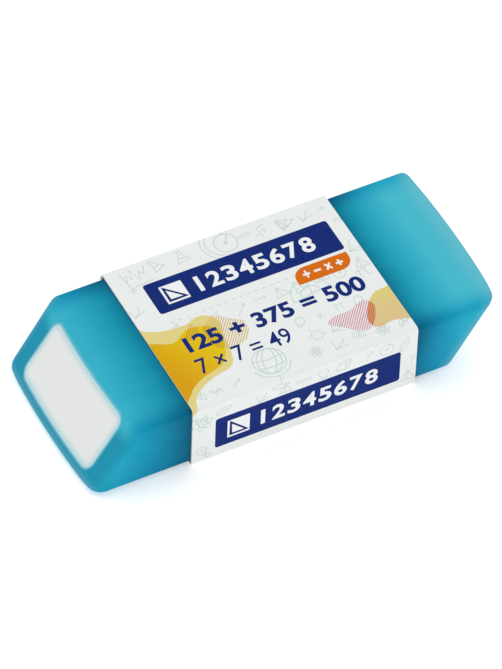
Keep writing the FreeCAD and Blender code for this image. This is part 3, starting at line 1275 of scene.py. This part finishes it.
# %% Fold the sleeve
EDGES = {
    "Top Edge": top_edge, "Front Edge": front_start,
    "Under Edge": under_start, "Flap Edge": flap_start,
}
SIZES = {"Thickness": CARD, "Inner Radius": FOLD, **EDGES, "Ceiling": card_ceiling}
folding, given = new_tree("fold a card sleeve", {
    "Sheet": "Geometry", **dict.fromkeys(SIZES, "Float"), "Print": "Material", "Board": "Material",
}, "Sleeve")
lift = flow(folding, "ShaderNodeCombineXYZ", {"Z": given["Thickness"]})
thick = flows(folding, "GeometryNodeExtrudeMesh", {
    "Mesh": given["Sheet"], "Offset": lift, "Offset Scale": 1.0, "Individual": False,
}, mode="FACES")
printed = flow(
    folding, "GeometryNodeStoreNamedAttribute",
    {"Geometry": thick["Mesh"], "Name": "printed", "Value": thick["Top"]},
    data_type="BOOLEAN", domain="FACE",
)
turned = flow(folding, "GeometryNodeFlipFaces", {"Mesh": given["Sheet"]})
both = add_node(folding, "GeometryNodeJoinGeometry")
for layer in (turned, printed):
    fill(folding, both.inputs[0], layer)
joined = Flow(folding, both.outputs[0])
card = flow(folding, "GeometryNodeMergeByDistance", {"Geometry": joined, "Distance": 1e-7})
for edge, side in (("Top", 1.0), ("Flap", -1.0), ("Under", -1.0), ("Front", -1.0)):
    card = flow(folding, "GeometryNodeGroup", {
        "Card": card, "Fold Line": given[edge + " Edge"], "Side": side,
        "Inner Radius": given["Inner Radius"],
    }, node_tree=crease)
raised = flow(folding, "ShaderNodeCombineXYZ", {"Z": given["Ceiling"]})
placed = flow(folding, "GeometryNodeSetPosition", {"Geometry": card, "Offset": raised})
real = flow(folding, "GeometryNodeRealizeInstances", {0: placed})
boarded = flow(folding, "GeometryNodeSetMaterial", {"Geometry": real, "Material": given["Board"]})
is_print = flow(
    folding, "GeometryNodeInputNamedAttribute", {"Name": "printed"}, "Attribute",
    data_type="BOOLEAN",
)
inked = flow(folding, "GeometryNodeSetMaterial", {
    "Geometry": boarded, "Selection": is_print, "Material": given["Print"],
})
add_node(folding, "NodeGroupOutput", {"Sleeve": inked})
print("nodes in the folding:", len(folding.nodes))

# %% [markdown]
# The tree is run once with the real sizes, in metres, and its result is kept as a plain mesh.
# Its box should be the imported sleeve's.

# %% The finished sleeve

sheet_mesh.materials.append(raw_card)
values = {name: size * MM for name, size in SIZES.items()}
values.update({"Print": printed_card, "Board": raw_card})
sleeve_mesh = run_tree(folding, sheet_mesh, values)
sleeve_mesh.name = "printed_sleeve"
printed_sleeve = link_object("printed_sleeve", sleeve_mesh)
sleeve_mesh.shade_smooth()
sleeve_mesh.set_sharp_from_angle(angle=SHARP_ANGLE)
print("sleeve faces:", len(sleeve_mesh.polygons))
for bound in (min, max):
    print([round(bound(v.co[i] for v in sleeve_mesh.vertices) / MM, 3) for i in range(3)])
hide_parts("card_sleeve")
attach(printed_sleeve, "sleeve")

# %% [markdown]
# ## Floor, light and camera
# The floor is a pale sheet that glows a little, so that it reads as white paper. It lies just
# under the sleeve, so that the two surfaces don't coincide.

# %% Floor
FLOOR_HALF = 2.0
FLOOR_HEIGHT = -0.00003
floor_mesh = bpy.data.meshes.new("floor")
turns = ((-1, -1), (1, -1), (1, 1), (-1, 1))
floor_corners = [(FLOOR_HALF * x, FLOOR_HALF * y, FLOOR_HEIGHT) for x, y in turns]
floor_mesh.from_pydata(floor_corners, [], [(0, 1, 2, 3)])
floor = link_object("floor", floor_mesh)
floor_paint, tree, shader = new_material("pale floor")
mottle = noise(tree, object_place(tree), 40.0, 2.0)
pale = mix_paint(tree, mottle, paint(250, 250, 250), paint(254, 254, 254))
fill(tree, shader.inputs["Base Color"], pale)
shader.inputs["Roughness"].default_value = 0.9
shader.inputs["Emission Color"].default_value = (1.0, 1.0, 1.0, 1.0)
shader.inputs["Emission Strength"].default_value = 0.3
shader.inputs["Specular IOR Level"].default_value = 0.1
floor.data.materials.append(floor_paint)
floor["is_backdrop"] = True
print("floor side:", 2 * FLOOR_HALF, "m")

# %% [markdown]
# Big soft lights keep the colours clean: a bright sky all round, one wide light above and
# behind, and one from the front left.

# %% Light
scene = bpy.context.scene
scene.view_settings.view_transform = "Standard"
sky = bpy.data.worlds.new("studio")
sky.use_nodes = True
sky_light = sky.node_tree.nodes["Background"].inputs
sky_light["Color"].default_value = (1.0, 1.0, 1.0, 1.0)
sky_light["Strength"].default_value = 0.62
scene.world = sky


def soft_light(name, place, size, watts):
    """A square light that faces the stick."""
    lamp = bpy.data.lights.new(name, "AREA")
    lamp.size = size
    lamp.energy = watts
    thing = link_object(name, lamp)
    thing.location = place
    thing.rotation_euler = (-Vector(place)).to_track_quat("-Z", "Y").to_euler()
    print(name, watts, "W")


soft_light("wide light above", (0.1, 0.25, 0.6), 0.6, 1.55)
soft_light("front light", (-0.3, -0.5, 0.45), 0.5, 0.95)

# %% [markdown]
# The camera has a long lens, as for a small product. It looks down at 48 degrees from the
# front left and is rolled a little.

# %% Camera
AZIMUTH = math.radians(-28.99)
ELEVATION = math.radians(48.03)
ROLL = math.radians(2.38)
LENS = 344.3
AWAY = 0.7149          # metres from the camera to the stick's middle
SHIFT_UP = 0.00269     # metres that the camera is moved, square to its view
SHIFT_RIGHT = 0.0000426
back = Vector((
    math.sin(AZIMUTH) * math.cos(ELEVATION),
    -math.cos(AZIMUTH) * math.cos(ELEVATION),
    math.sin(ELEVATION),
))
level_right = Vector((0, 0, 1)).cross(back).normalized()
level_up = back.cross(level_right)
right = math.cos(ROLL) * level_right + math.sin(ROLL) * level_up
up = -math.sin(ROLL) * level_right + math.cos(ROLL) * level_up
camera = link_object("camera", bpy.data.cameras.new("camera"))
camera.data.lens = LENS
camera.data.sensor_width = 36.0
camera.data.clip_end = 20.0
camera.rotation_euler = Matrix((right, up, back)).transposed().to_euler()
camera.location = right * SHIFT_RIGHT + up * SHIFT_UP + back * AWAY
scene.camera = camera
print("camera at", [round(v, 3) for v in camera.location])

# %% [markdown]
# Last, the visual model's box is measured and printed beside the imported model's box.

# %% Both boxes printed, and the end
seen_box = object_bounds()
boxes = {
    "cad": [list(corner) for corner in cad_box],
    "visual": [list(corner) for corner in seen_box],
}
for name, (low, high) in boxes.items():
    print(name, [round(v / MM, 3) for v in low], [round(v / MM, 3) for v in high])
